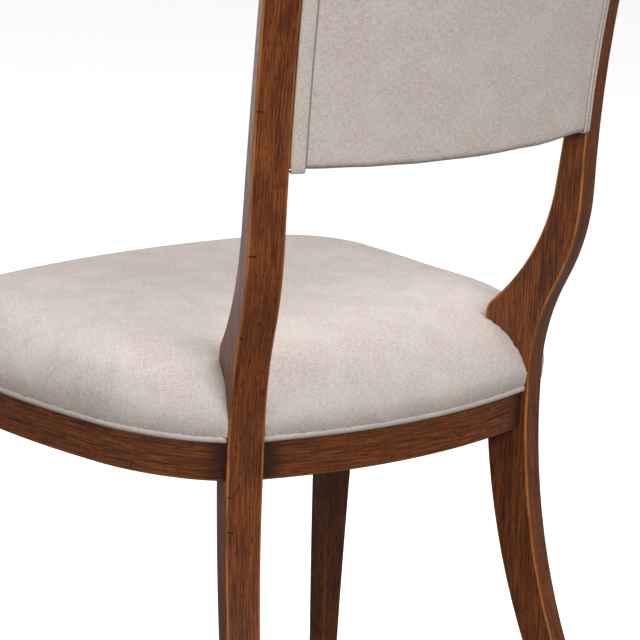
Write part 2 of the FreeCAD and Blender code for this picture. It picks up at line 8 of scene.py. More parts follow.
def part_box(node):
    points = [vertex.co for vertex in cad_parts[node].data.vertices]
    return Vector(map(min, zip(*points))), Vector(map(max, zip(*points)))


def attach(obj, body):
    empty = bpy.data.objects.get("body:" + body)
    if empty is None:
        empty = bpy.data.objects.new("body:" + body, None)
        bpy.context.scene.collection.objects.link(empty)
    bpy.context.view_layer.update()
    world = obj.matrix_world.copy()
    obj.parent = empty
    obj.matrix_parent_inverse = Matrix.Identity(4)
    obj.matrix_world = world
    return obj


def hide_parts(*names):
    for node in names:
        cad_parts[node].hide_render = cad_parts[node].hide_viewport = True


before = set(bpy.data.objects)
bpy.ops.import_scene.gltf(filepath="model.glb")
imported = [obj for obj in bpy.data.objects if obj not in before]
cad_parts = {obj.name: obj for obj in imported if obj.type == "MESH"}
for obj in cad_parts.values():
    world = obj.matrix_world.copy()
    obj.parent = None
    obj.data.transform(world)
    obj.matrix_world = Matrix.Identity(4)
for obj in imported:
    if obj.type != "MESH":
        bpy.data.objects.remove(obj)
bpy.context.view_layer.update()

# Back stiles and rear legs. Each is one plank of stained walnut-coloured hardwood, sawn to a sabre
# leg, a seat ear and a back stile, planed flat on both sides and rubbed through the stain along
# its softened arrises, which are also painted lighter as a highlight. The seat rails and the
# tablet's rails meet its flat sides with loose tenons.
STILE_TURN = math.radians(24.5)
STILE_SEAT = Vector((0.175693, 0.179172, 0.0))
STILE_ARRIS = 0.0024
STILE_DEEP = 0.04
SIDE_FACING = 0.8
EAR_LOWEST = 0.44
EAR_FRONT = -0.04
EAR_CORNER = math.radians(20)
EAR_ROUND = 0.007
EAR_SEGMENTS = 5
ARRIS_SEGMENTS = 4
LONG_ARRIS = 0.25
SHARP = math.radians(35)
FLAT = math.radians(0.4)
WELD = 1e-5
STRAIGHT = 0.99
WALNUT_DEEP = (0.105, 0.0225, 0.0035, 1)
WALNUT_WARM = (0.200, 0.047, 0.0070, 1)
WALNUT_PALE = (0.290, 0.083, 0.0140, 1)
WALNUT_DARK = (0.040, 0.0095, 0.0025, 1)
WALNUT_PORE_AND_JOINT_SHADE = (0.015, 0.0048, 0.0022, 1)
WALNUT_RUBBED_AND_HIGHLIGHT = (0.520, 0.180, 0.040, 1)
DENT_DARK = (0.008, 0.004, 0.003, 1)
DENT_CORE = 0.55
FIGURE_SCALE = (3.0, 60.0, 60.0)
STREAK_SCALE = (24.0, 680.0, 680.0)
PORE_SCALE = (95.0, 1500.0, 1500.0)
GLAZE_SCALE = (13.0, 34.0, 34.0)
WEAR_AND_HIGHLIGHT_SCALE = (17.0, 60.0, 60.0)
PORE_DEPTH = 0.0004
LACQUER_ROUGHNESS = 0.34

# Small dents and scratches of the aged finish: two ends in height, depth from the rear face and
# distance across the plank, and a width.
LEFT_DENTS = (
    ((0.7237, 0.0, 0.0120), (0.7240, -0.0006, 0.0168), 0.0009),
    ((0.5938, 0.0, 0.0098), (0.5942, -0.0006, 0.0168), 0.0010),
    ((0.5150, 0.0, 0.0150), (0.5122, 0.0, 0.0126), 0.0010),
    ((0.5278, 0.0, -0.0002), (0.5290, 0.0, -0.0004), 0.0013),
    ((0.3725, 0.0, 0.0060), (0.3660, 0.0, 0.0072), 0.0006),
    ((0.3660, 0.0, 0.0072), (0.3625, 0.0, 0.0105), 0.0006),
    ((0.3602, 0.0, 0.0120), (0.3606, -0.0006, 0.0168), 0.0009),
    ((0.3281, 0.0, 0.0100), (0.3284, -0.0006, 0.0168), 0.0010),
)
RIGHT_DENTS = (
    ((0.5987, 0.0, 0.0155), (0.5995, -0.0006, 0.0170), 0.0012),
    ((0.3900, 0.0, 0.0020), (0.3912, 0.0, 0.0024), 0.0010),
    ((0.4640, 0.0, 0.0105), (0.4652, 0.0, 0.0120), 0.0009),
)


class Value:
    """A number or vector that nodes work out, so that sums on it read as plain Python."""

    def __init__(self, finish, socket):
        self.finish = finish
        self.socket = socket

    def sum(self, operation, first, second):
        return self.finish.node("Math", {"operation": operation}, {0: first, 1: second})

    def __add__(self, other):
        return self.sum("ADD", self, other)

    def __sub__(self, other):
        return self.sum("SUBTRACT", self, other)

    def __mul__(self, other):
        return self.sum("MULTIPLY", self, other)

    def __rsub__(self, other):
        return self.sum("SUBTRACT", other, self)

    __radd__ = __add__
    __rmul__ = __mul__


class Finish:
    """One material, or the world, and the nodes that make it."""

    def __init__(self, name, kept_in="materials"):
        self.material = getattr(bpy.data, kept_in).new(name)
        self.material.use_nodes = True
        self.tree = self.material.node_tree
        self.tree.nodes.clear()

    def node(self, kind, settings=None, inputs=None, output=0):
        """Adds a node of a type with its settings, set first, and its sockets' values or links."""
        made = self.tree.nodes.new("ShaderNode" + kind)
        for name, value in (settings or {}).items():
            setattr(made, name, value)
        for name, value in (inputs or {}).items():
            if isinstance(value, Value):
                self.tree.links.new(value.socket, made.inputs[name])
            else:
                made.inputs[name].default_value = value
        return Value(self, made.outputs[output]) if made.outputs else None

    def attribute(self, name, output="Vector"):
        """Reads a piece's own attribute."""
        return self.node("Attribute", {"attribute_name": name}, output=output)

    def scaled(self, vector, scale):
        """Vector with each part multiplied by its own scale."""
        return self.node("VectorMath", {"operation": "MULTIPLY"}, {0: vector, 1: scale})

    def cloudy(self, vector, scale, detail=3.0, distortion=0.0):
        """Soft noise from 0 to 1 with its own scale along each way of a vector."""
        inputs = {"Scale": 1.0, "Detail": detail, "Distortion": distortion}
        return self.node("TexNoise", inputs={"Vector": self.scaled(vector, scale), **inputs})

    def step(self, value, low, high):
        """0 below low, 1 above high and a smooth rise between."""
        settings = {"interpolation_type": "SMOOTHSTEP"}
        return self.node("MapRange", settings, {"Value": value, "From Min": low, "From Max": high})

    def mix(self, factor, first, second):
        """Colour between two, from the first at 0 to the second at 1."""
        return self.node("Mix", {"data_type": "RGBA"}, {0: factor, 6: first, 7: second}, 2)

    def near(self, place, start, end):
        """Distance from a straight line between two points."""
        along = Vector(end) - Vector(start)
        offset = self.node("VectorMath", {"operation": "SUBTRACT"}, {0: place, 1: start})
        dot = self.node("VectorMath", {"operation": "DOT_PRODUCT"}, {0: offset, 1: along}, 1)
        share = self.node("Clamp", inputs={"Value": dot * (1.0 / along.length_squared)})
        foot = self.node("VectorMath", {"operation": "SCALE"}, {0: along, 3: share})
        return self.node("VectorMath", {"operation": "DISTANCE"}, {0: offset, 1: foot}, 1)

    def shine(self, inputs):
        """Principled surface that ends the material."""
        shader = self.node("BsdfPrincipled", inputs=inputs)
        self.node("OutputMaterial", inputs={"Surface": shader})
        return self.material


def walnut(name, shift, arris=1.0, dents=(), joint=None):
    """Walnut stain with fine dark pores, a mottled glaze, worn arrises with a painted highlight, glaze and
    painted shade at the joints when asked, and a satin lacquer.
    """
    wood = Finish(name)
    place = wood.attribute("grain")
    grain = wood.node("VectorMath", {"operation": "ADD"}, {0: place, 1: shift})
    figure = wood.cloudy(grain, FIGURE_SCALE, 4.0, 0.4)
    streak = wood.cloudy(grain, STREAK_SCALE, 3.0, 0.2)
    pore = wood.cloudy(grain, PORE_SCALE, 2.0)
    glaze = wood.cloudy(grain, GLAZE_SCALE, 3.0, 0.8)
    colour = wood.mix(wood.step(figure, 0.3, 0.7), WALNUT_DEEP, WALNUT_WARM)
    colour = wood.mix(wood.step(streak, 0.46, 0.62) * 0.7, colour, WALNUT_PALE)
    colour = wood.mix(wood.step(streak, 0.47, 0.34) * 0.6, colour, WALNUT_DARK)
    colour = wood.mix(wood.step(pore, 0.54, 0.62) * 0.72, colour, WALNUT_PORE_AND_JOINT_SHADE)
    colour = wood.mix(wood.step(glaze, 0.50, 0.76) * 0.42, colour, WALNUT_DARK)
    # Darker by the stiles: gathered glaze and painted shade of the corners where the rails meet them.
    if joint:
        colour = wood.mix(joint(wood, place) * 0.85, colour, WALNUT_PORE_AND_JOINT_SHADE)
    # Rubbed arrises: stain worn through plus a painted highlight, both as a lighter colour on the rounded
    # edges.
    rubbed_and_highlight = wood.attribute("rubbed_and_highlight", "Fac")
    wear_and_highlight_patches = wood.step(wood.cloudy(grain, WEAR_AND_HIGHLIGHT_SCALE, 3.0), 0.35, 0.62)
    wear_and_highlight = rubbed_and_highlight * (0.28 + 0.62 * wear_and_highlight_patches) * arris
    colour = wood.mix(wear_and_highlight, colour, WALNUT_RUBBED_AND_HIGHLIGHT)
    for begin, finish, width in dents:
        dent = wood.step(wood.near(place, begin, finish), width, width * DENT_CORE)
        colour = wood.mix(dent * 0.92, colour, DENT_DARK)
    relief = wood.step(pore, 0.52, 0.72) * -0.7 + streak * 0.35
    bump = wood.node("Bump", inputs={"Strength": 0.2, "Distance": PORE_DEPTH, "Height": relief})
    roughness = LACQUER_ROUGHNESS + 0.18 * glaze
    return wood.shine({"Base Color": colour, "Roughness": roughness, "Normal": bump,
                       "Specular IOR Level": 0.42, "Coat Weight": 0.05, "Coat Roughness": 0.25})


def copied(node):
    """Welded copy of a CAD node, with its flat faces in one piece."""
    shape = bmesh.new()
    shape.from_mesh(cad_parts[node].data)
    bmesh.ops.remove_doubles(shape, verts=shape.verts, dist=WELD)
    bmesh.ops.dissolve_limit(shape, angle_limit=FLAT, verts=shape.verts, edges=shape.edges)
    return shape


def long_arrises(shape):
    """Sharp edges that run on into each other for a good length, so not those round a hole."""
    sharp = [edge for edge in shape.edges if edge.is_manifold and edge.calc_face_angle() > SHARP]
    waiting = dict.fromkeys(sharp)
    kept = []
    while waiting:
        group = [waiting.popitem()[0]]
        for edge in group:
            for vert in edge.verts:
                near = [other for other in vert.link_edges if other in waiting]
                for other in near:
                    del waiting[other]
                group += near
        if sum(edge.calc_length() for edge in group) > LONG_ARRIS:
            kept += group
    return kept


def eased(shape, edges, width):
    """Rounds edges over and marks the middle of each round as rubbed, for worn stain and a painted highlight.
    """
    made = bmesh.ops.bevel(shape, geom=edges, offset=width, offset_type="OFFSET",
                           segments=ARRIS_SEGMENTS, profile=0.5, affect="EDGES", material=-1,
                           clamp_overlap=False)
    rounds = set(made["faces"])
    rubbed_and_highlight = shape.verts.layers.float.new("rubbed_and_highlight")
    for vert in shape.verts:
        vert[rubbed_and_highlight] = float(all(face in rounds for face in vert.link_faces))


def finished(name, shape, material, replaced, grain=None):
    """Turns a bmesh into a piece of the chair that stands for CAD nodes."""
    if grain:
        layer = shape.loops.layers.float_vector.new("grain")
        shape.normal_update()
        for face in shape.faces:
            for loop in face.loops:
                loop[layer] = grain(loop.vert.co, face.normal)
    mesh = bpy.data.meshes.new(name)
    shape.to_mesh(mesh)
    shape.free()
    mesh.materials.append(material)
    mesh.polygons.foreach_set("use_smooth", [True] * len(mesh.polygons))
    mesh.set_sharp_from_angle(angle=SHARP)
    piece = bpy.data.objects.new(name, mesh)
    bpy.context.scene.collection.objects.link(piece)
    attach(piece, "root")
    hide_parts(*replaced)
    return piece


def weighted(piece):
    """Lets broad faces keep flat shading beside their rounded edges."""
    piece.modifiers.new("flat faces", "WEIGHTED_NORMAL").keep_sharp = True


def in_stile(side):
    """Height, distance to the rear and distance across the plank of a point near one stile."""
    out = Vector((side * math.sin(STILE_TURN), math.cos(STILE_TURN), 0.0))
    across = Vector((side * math.cos(STILE_TURN), -math.sin(STILE_TURN), 0.0))
    seat = Vector((side * STILE_SEAT.x, STILE_SEAT.y, 0.0))
    return lambda point: (point.z, (point - seat).dot(out), (point - seat).dot(across))


def along_stile(side):
    """Grain of one plank: straight up its flat sides, and up the sawn curve on its rear and front."""
    placed = in_stile(side)
    out = Vector((side * math.sin(STILE_TURN), math.cos(STILE_TURN), 0.0))
    across = Vector((side * math.cos(STILE_TURN), -math.sin(STILE_TURN), 0.0))

    def grain(point, normal):
        height, behind, sideways = placed(point)
        if abs(normal.dot(across)) < SIDE_FACING:
            behind = 0.0 if normal.dot(out) > 0 else -STILE_DEEP
        return height, behind, sideways

    return grain


def round_ear(side, plank):
    """Rounds the corners at the point of the seat ear."""
    placed = in_stile(side)
    across = Vector((side * math.cos(STILE_TURN), -math.sin(STILE_TURN), 0.0))
    corners = []
    for edge in plank.edges:
        height, behind, _ = placed((edge.verts[0].co + edge.verts[1].co) / 2)
        level = abs((edge.verts[1].co - edge.verts[0].co).normalized().dot(across)) > STRAIGHT
        if level and height > EAR_LOWEST and behind < EAR_FRONT and edge.calc_face_angle() > EAR_CORNER:
            corners.append(edge)
    bmesh.ops.bevel(plank, geom=corners, offset=EAR_ROUND, offset_type="OFFSET",
                    segments=EAR_SEGMENTS, profile=0.5, affect="EDGES", material=-1, clamp_overlap=True)


for name, side, shift, dents in (("left", 1, (0.0, 0.0, 0.0), LEFT_DENTS),
                                 ("right", -1, (0.7, 0.31, 0.12), RIGHT_DENTS)):
    node = f"rear_leg_{name}"
    plank = copied(node)
    round_ear(side, plank)
    eased(plank, long_arrises(plank), STILE_ARRIS)
    stile = finished(f"rear_leg_and_stile_{name}", plank, walnut(f"stile walnut {name}", shift, 1.0, dents),
                     [node], along_stile(side))
    weighted(stile)

# Front legs. Tapered legs of the same stained wood, rectangular in section, swept forwards and outwards
# from under the front corners of the seat and screwed from inside through the corner blocks.
FRONT_ARRIS = 0.0012
FRONT_RUBBED_AND_HIGHLIGHT = 0.5
for name, shift in (("left", (0.2, 0.5, 0.4)), ("right", (0.4, 0.9, 0.1))):
    node = f"front_leg_{name}"
    leg = copied(node)
    eased(leg, long_arrises(leg), FRONT_ARRIS)
    leg = finished(f"front_sabre_leg_{name}", leg, walnut(f"front leg walnut {name}", shift, FRONT_RUBBED_AND_HIGHLIGHT),
                   [node], lambda point, normal: (point.z, point.x, point.y))
    weighted(leg)

# Seat rails. Four bowed rails of the same stained wood that make a rounded ring. Loose tenons join them
# to the stiles and to each other in mitres over the front legs. Their grain runs level round the ring.
RING_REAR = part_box("rear_seat_rail")[1].y
RING_DEPTH = 0.496
STILE_WAY = 0.1769
JOINT_GLAZE_SHADE_FAR, JOINT_GLAZE_SHADE_NEAR = 0.046, 0.019
RAIL_ARRIS = 0.0010
RAIL_RUBBED_AND_HIGHLIGHT = 0.45
HEADING_SLACK = 0.01
RING_ARCS = (
    (Vector((0.0, -0.552)), 0.552, 16.8),
    (Vector((0.127174, -0.130779)), 0.112, 50.2),
    (Vector((0.059565, -0.187109)), 0.200, 76.4),
    (Vector((-0.494453, -0.321140)), 0.770, 92.699),
    (Vector((0.144837, -0.351282)), 0.130, 168.395),
    (Vector((0.0, 0.354)), 0.850, 180.0),
)


def ring_place(x, y):
    """Way round the ring from its rear middle, inset from its face and outward direction at a point."""
    side = -1.0 if x < 0 else 1.0
    point = Vector((abs(x), y - RING_REAR))
    way, begin, best = 0.0, 0.0, None
    for centre, radius, end in RING_ARCS:
        spoke = point - centre
        heading = math.degrees(math.atan2(spoke.x, spoke.y))
        inset = radius - spoke.length
        spanned = begin - HEADING_SLACK <= heading <= end + HEADING_SLACK
        if spanned and (best is None or inset < best[1]):
            turned = math.radians(heading - begin) * radius
            out = Vector((side * spoke.x, spoke.y)).normalized()
            best = (side * (way + turned), inset, out)
        way += math.radians(end - begin) * radius
        begin = end
    return best or (0.0, RING_DEPTH / 2, Vector((0.0, 1.0)))


def ring_point(heading, inset=0.0):
    """Point of the ring in plan at a heading in degrees from straight back, and the outward direction."""
    turned = heading % 360.0
    side = -1.0 if turned > 180.0 else 1.0
    turned = 360.0 - turned if side < 0 else turned
    centre, radius, _ = next(arc for arc in RING_ARCS if turned <= arc[2] + 1e-6)
    out = Vector((math.sin(math.radians(turned)), math.cos(math.radians(turned))))
    point = centre + out * (radius - inset)
    return Vector((side * point.x, point.y + RING_REAR)), Vector((side * out.x, out.y))


def along_rail(point, normal):
    """Grain of a rail, level round the ring."""
    way, inset, _ = ring_place(point.x, point.y)
    return way, point.z, inset


def joint_glaze_and_shade(wood, place):
    """1 beside the stiles, where glaze has gathered in the joints and painted shade stands for the shadow in
    the corners there, and 0 away from them.
    """
    parts = wood.node("SeparateXYZ", inputs={0: place})
    way = wood.node("Math", {"operation": "ABSOLUTE"}, {0: parts})
    from_stile = wood.node("Math", {"operation": "ABSOLUTE"}, {0: way - STILE_WAY})
    return wood.step(from_stile, JOINT_GLAZE_SHADE_FAR, JOINT_GLAZE_SHADE_NEAR)


# Scratches: two ends in way round the ring, height and inset, and a width.
REAR_SCRATCHES = (
    ((-0.0532, 0.3957, 0.0), (-0.0560, 0.3905, 0.0), 0.0007),
    ((-0.0560, 0.3905, 0.0), (-0.0620, 0.3850, 0.0), 0.0007),
    ((-0.0620, 0.3850, 0.0), (-0.0680, 0.3836, 0.0), 0.0007),
    ((-0.0680, 0.3836, 0.0), (-0.0735, 0.3866, 0.0), 0.0006),
)
LEFT_SCRATCHES = (
    ((0.2830, 0.3835, 0.0), (0.2822, 0.3800, 0.0), 0.0007),
    ((0.2822, 0.3800, 0.0), (0.2834, 0.3765, 0.0), 0.0007),
)
for name, shift, dents in (("rear", (0.1, 0.2, 0.3), REAR_SCRATCHES), ("front", (0.9, 0.5, 0.3), ()),
                           ("left", (1.6, 0.1, 0.7), LEFT_SCRATCHES), ("right", (2.3, 0.8, 0.2), ())):
    node = f"{name}_seat_rail"
    rail = copied(node)
    eased(rail, long_arrises(rail), RAIL_ARRIS)
    stained = walnut(f"{name} rail walnut", shift, RAIL_RUBBED_AND_HIGHLIGHT, dents, joint_glaze_and_shade)
    rail = finished(f"{name}_bowed_rail", rail, stained, [node], along_rail)
    weighted(rail)

# Corner blocks, loose tenons and the tablet's two rails. Sawn beech, left unfinished because the
# cloth and the show wood hide it.
BEECH_PALE = (0.43, 0.26, 0.14, 1)
BEECH_FLECK = (0.29, 0.155, 0.08, 1)
SAW_DEPTH = 0.0004

beech = Finish("sawn beech")
place = beech.node("TexCoord", output="Object")
fleck = beech.cloudy(place, (900.0, 900.0, 160.0), 2.0)
saw_marks = beech.cloudy(place, (40.0, 40.0, 700.0), 2.0)
beech_colour = beech.mix(beech.step(fleck, 0.45, 0.7), BEECH_PALE, BEECH_FLECK)
beech_bump = beech.node("Bump", inputs={"Strength": 0.3, "Distance": SAW_DEPTH, "Height": saw_marks})
beech.shine({"Base Color": beech_colour, "Roughness": 0.72, "Normal": beech_bump})


def coated(material, *nodes):
    """Gives CAD nodes that keep their own shape a finish."""
    for node in nodes:
        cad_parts[node].data.materials.clear()
        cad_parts[node].data.materials.append(material)


coated(beech.material, "rear_left_corner_block", "rear_right_corner_block", "front_left_corner_block",
       "front_right_corner_block", "rail_tenons", "back_tenons", "back_top_rail", "back_bottom_rail")

# Seat deck and tablet board. Birch plywood. The deck lies on the rails, is held by screws from under
# the corner blocks and carries the foam, and the thin board in front of the tablet's rails its padding.
BIRCH_PALE = (0.56, 0.40, 0.24, 1)
BIRCH_WARM = (0.44, 0.29, 0.16, 1)
BIRCH_GLUE = (0.30, 0.18, 0.09, 1)

ply = Finish("birch plywood")
place = ply.node("TexCoord", output="Object")
veneer = ply.cloudy(place, (12.0, 160.0, 160.0), 3.0, 0.6)
plies = ply.cloudy(place, (6.0, 6.0, 900.0), 1.0)
ply_colour = ply.mix(ply.step(veneer, 0.35, 0.7), BIRCH_PALE, BIRCH_WARM)
ply_colour = ply.mix(ply.step(plies, 0.52, 0.60) * 0.3, ply_colour, BIRCH_GLUE)
ply.shine({"Base Color": ply_colour, "Roughness": 0.62})
coated(ply.material, "seat_board", "back_board")

# Screws, staples and glide nails. Zinc plated steel, dulled by handling: screws through the corner
# blocks and up into the deck, staples round the dust cover and one nail in each glide.
ZINC_DULL = (0.50, 0.49, 0.45, 1)
ZINC_BRIGHT = (0.66, 0.65, 0.61, 1)

zinc = Finish("zinc plate")
dulled = zinc.cloudy(zinc.node("TexCoord", output="Object"), (220.0, 220.0, 220.0), 3.0)
zinc_colour = zinc.mix(dulled, ZINC_DULL, ZINC_BRIGHT)
zinc.shine({"Base Color": zinc_colour, "Metallic": 1.0, "Roughness": 0.28 + 0.25 * dulled})
coated(zinc.material, "corner_block_screws", "seat_board_screws", "dust_cover_staples", "glide_nails")

# Crowned seat. Foam under one tight cover of a pale oatmeal weave, drawn down to the rebate along the
# top of the rails and notched round both stiles, where the cloth is turned under and puckers at the
# point of each ear.
WIDEST = 0.4275
BULGE = 0.0045
CROWN_RISE = 0.057
CROWN_EDGE_POWER = 6.8
CROWN_TOP_POWER = 1.32
CROWN_TIP = 0.025
TIP_INSET = 0.055
SIDE_FULLNESS = 1.0
FULLEST_Y = 0.05
FULL_REACH = 0.06
COVER_BOTTOM = 0.4170
UNDERCUT = 0.0022
EDGE_REACH = 0.05
HALVINGS = 18


def crown(inset, y):
    """Height of the seat's skin at an inset from the ring, tipped up a little towards the rear."""
    share = max(0.0, 1.0 - max(0.0, inset + BULGE) / (RING_DEPTH / 2))
    power = CROWN_TOP_POWER + SIDE_FULLNESS * math.exp(-(((y - FULLEST_Y) / FULL_REACH) ** 2))
    rise = CROWN_RISE * (1.0 - share**CROWN_EDGE_POWER) ** (1.0 / power)
    tipped = min(1.0, max(0.0, inset + BULGE) / (TIP_INSET + BULGE)) * CROWN_TIP
    return WIDEST + rise + tipped * (y - RING_REAR + RING_DEPTH / 2)


def inset_at(height, y):
    """Inset of the seat's skin at a height on its steep edge."""
    if height <= WIDEST:
        fall = min(1.0, (WIDEST - height) / (WIDEST - COVER_BOTTOM))
        return -BULGE + UNDERCUT * fall * fall
    low, high = -BULGE, EDGE_REACH
    for _ in range(HALVINGS):
        middle = (low + high) / 2
        low, high = (middle, high) if crown(middle, y) < height else (low, middle)
    return (low + high) / 2


def skin_lengths():
    """Length of cloth over the crown's edge from a middle inset out to its widest line."""
    steps = 120
    span = TIP_INSET * 2 + BULGE
    lengths = [0.0]
    for i in range(steps):
        first, second = (-BULGE + span * k / steps for k in (i, i + 1))
        middle = RING_REAR - RING_DEPTH / 2
        lengths.append(lengths[-1] + math.hypot(second - first, crown(second, middle) - crown(first, middle)))
    return span / steps, lengths


SKIN_STEP, SKIN_LENGTHS = skin_lengths()


def on_cloth(point):
    """Place on the flat cloth of a point of the seat, so that the weave runs on over its edge."""
    _, inset, out = ring_place(point.x, point.y)
    count = min(len(SKIN_LENGTHS) - 1, max(0, int((inset + BULGE) / SKIN_STEP)))
    pulled = SKIN_LENGTHS[-1] - SKIN_LENGTHS[count] - (len(SKIN_LENGTHS) - 1 - count) * SKIN_STEP
    below = max(0.0, crown(inset, point.y) - point.z)
    flat = Vector((point.x, point.y)) + out * (pulled + below)
    return flat.x, flat.y, 0.0


NAP_PALE = (0.78, 0.745, 0.72, 1)
SEAM_PAINTED_SHADE = (0.13, 0.10, 0.085, 1)
SEAM_FAR, SEAM_NEAR = 0.0013, 0.0003
YARN_PITCH = 1.9
YARN_CONTRAST = 1.3
YARN_DEPTH = 0.0005
BEND_SCALE = (70.0, 70.0, 1.0)
SLUB_SCALE = (190.0, 1100.0, 1.0)
CROSS_SLUB_SCALE = (1100.0, 190.0, 1.0)
FLECK_SCALE = (800.0, 800.0, 1.0)
NAP_SCALE = (24.0, 24.0, 1.0)
SEAT_YARNS = ((0.695, 0.62, 0.58, 1), (0.475, 0.415, 0.38, 1))


def oatmeal(name, pitch, warm, cool, contrast, seam=None):
    """Textured plain weave of pale warm yarns, with slubs and a soft blotchy nap, and a painted shade line
    along a seam where one is given.
    """
    cloth = Finish(name)
    place = cloth.attribute("cloth")
    bent = cloth.cloudy(place, BEND_SCALE, 2.0) * 0.8
    per_metre = 1000.0 / pitch
    parts = cloth.node("SeparateXYZ", inputs={0: cloth.scaled(place, (per_metre, per_metre, 1.0))})
    across = Value(cloth, parts.socket.node.outputs[1])
    warp = cloth.node("Math", {"operation": "SINE"}, {0: (parts + bent) * math.tau})
    weft = cloth.node("Math", {"operation": "SINE"}, {0: (across + bent) * math.tau})
    checks = warp * weft
    slub_u = cloth.cloudy(place, SLUB_SCALE, 2.0)
    slub_v = cloth.cloudy(place, CROSS_SLUB_SCALE, 2.0)
    fleck = cloth.cloudy(place, FLECK_SCALE, 2.0)
    nap = cloth.cloudy(place, NAP_SCALE, 5.0, 0.6)
    yarn = 0.5 + 0.42 * checks + contrast * (slub_u + slub_v - 1.0) + (fleck - 0.5) * 0.8
    colour = cloth.mix(cloth.step(yarn, 0.15, 0.85), cool, warm)
    colour = cloth.mix(cloth.step(nap, 0.42, 0.62) * 0.19, colour, NAP_PALE)
    # Painted shade: a thin dark line standing for the shadow in the crease of the band's seam.
    if seam:
        ends = cloth.node("SeparateXYZ", inputs={0: place})
        reach = cloth.node("Math", {"operation": "ABSOLUTE"}, {0: ends})
        gap = cloth.node("Math", {"operation": "ABSOLUTE"}, {0: reach - seam})
        colour = cloth.mix(cloth.step(gap, SEAM_FAR, SEAM_NEAR) * 0.62, colour, SEAM_PAINTED_SHADE)
    height = 0.5 * checks + 1.2 * (slub_u + slub_v) + 0.9 * fleck
    bump = cloth.node("Bump", inputs={"Strength": 0.5, "Distance": YARN_DEPTH, "Height": height})
    return cloth.shine({"Base Color": colour, "Roughness": 0.92, "Normal": bump,
                        "Specular IOR Level": 0.2, "Sheen Weight": 0.12, "Sheen Roughness": 0.45})


seat_cloth = oatmeal("oatmeal seat cloth", YARN_PITCH, *SEAT_YARNS, YARN_CONTRAST)


def remeshed(shape, voxel):
    """Even skin of small faces over a closed shape."""
    mesh = bpy.data.meshes.new("blank")
    shape.to_mesh(mesh)
    shape.free()
    blank = bpy.data.objects.new("blank", mesh)
    bpy.context.scene.collection.objects.link(blank)
    skin = blank.modifiers.new("skin", "REMESH")
    skin.mode = "VOXEL"
    skin.voxel_size = voxel
    evaluated = blank.evaluated_get(bpy.context.evaluated_depsgraph_get())
    even = bmesh.new()
    even.from_mesh(bpy.data.meshes.new_from_object(evaluated))
    bpy.data.objects.remove(blank)
    return even


def soft(value, low, high):
    """0 below low, 1 above high and a smooth rise between."""
    share = min(1.0, max(0.0, (value - low) / (high - low)))
    return share * share * (3 - 2 * share)


TOP_FACING = 0.5
TOP_INSET = 0.006
EDGE_FACING = 0.3
EDGE_INSET = 0.03


def shaped_as_crown(vert):
    """Moves a point of the foam's outer skin onto the crown."""
    _, inset, out = ring_place(vert.co.x, vert.co.y)
    if vert.normal.z > TOP_FACING and inset > TOP_INSET:
        vert.co.z = crown(inset, vert.co.y)
    elif inset < EDGE_INSET and vert.normal.xy.dot(out) > EDGE_FACING:
        vert.co.xy += out * (inset - inset_at(max(vert.co.z, COVER_BOTTOM), vert.co.y))


NOTCH_SIDE = 0.0164
NOTCH_DRAWN = 0.026
NOTCH_FULL = 0.0235
NOTCH_FADE = 0.003
NOTCH_FACING = (0.25, 0.6)
NOTCH_BEHIND_TIP = 0.002
EDGE_ROLL = 0.012
ROLL_POWER = 2.5
COVER_TUCK = 0.0052
EAR_TIP = -0.056
DIMPLE_FACING = 0.2
DIMPLE_DEPTH = 0.0055
DIMPLE_REACH = 0.017
PUCKER_ACROSS = 0.012
PUCKER_DEPTH = 0.0045
PUCKER_REACH = 0.007
FOLDS = 5.0
FOLD_SHARE = 0.16
FOLD_FADE = (0.002, 0.02)


def drawn_to_stiles(vert):
    """Draws the cover tight against the sides of both stiles, with a pucker at each ear's point."""
    side = -1.0 if vert.co.x < 0 else 1.0
    _, behind, across = in_stile(side)(vert.co)
    sideways = Vector((side * math.cos(STILE_TURN), -math.sin(STILE_TURN)))
    facing = -vert.normal.xy.dot(sideways) * (1.0 if across > 0 else -1.0)
    if abs(across) < NOTCH_DRAWN and behind > EAR_TIP + NOTCH_BEHIND_TIP:
        pull = max(soft(facing, *NOTCH_FACING), soft(NOTCH_FULL - abs(across), 0.0, NOTCH_FADE))
        vert.co.xy += sideways * (math.copysign(NOTCH_SIDE, across) - across) * pull
        if pull > 0:
            _, inset, out = ring_place(vert.co.x, vert.co.y)
            sunk = (crown(inset, vert.co.y) - vert.co.z) / EDGE_ROLL
            if 0.0 < sunk < 1.0 and inset > 0.0:
                vert.co.z = crown(inset, vert.co.y) - EDGE_ROLL * sunk**ROLL_POWER
            drawn = (inset - inset_at(max(vert.co.z, COVER_BOTTOM), vert.co.y)) / EDGE_ROLL
            if 0.0 < drawn < 1.0 and vert.co.z > COVER_BOTTOM - COVER_TUCK:
                vert.co.xy += out * EDGE_ROLL * (drawn - drawn**ROLL_POWER)
    spread = Vector((behind - EAR_TIP, across))
    corner = math.hypot(behind - EAR_TIP, across - PUCKER_ACROSS)
    if vert.normal.z > DIMPLE_FACING:
        vert.co.z -= PUCKER_DEPTH * math.exp(-((corner / PUCKER_REACH) ** 2))
        turned = math.atan2(spread.y, spread.x)
        fold = FOLD_SHARE * math.cos(FOLDS * turned) * soft(spread.length, *FOLD_FADE)
        vert.co.z -= DIMPLE_DEPTH * (1.0 + fold) * math.exp(-((spread.length / DIMPLE_REACH) ** 2))


SEAT_VOXEL = 0.004
SKIN_SLACK = 0.001
TUCK_INSET = 0.014
TUCK_HEIGHT = 0.011
TUCK_FADE = 0.009


def smoothed(shape, factor):
    """Evens out every point of a shape."""
    bmesh.ops.smooth_vert(shape, verts=shape.verts, factor=factor, use_axis_x=True, use_axis_y=True,
                          use_axis_z=True)


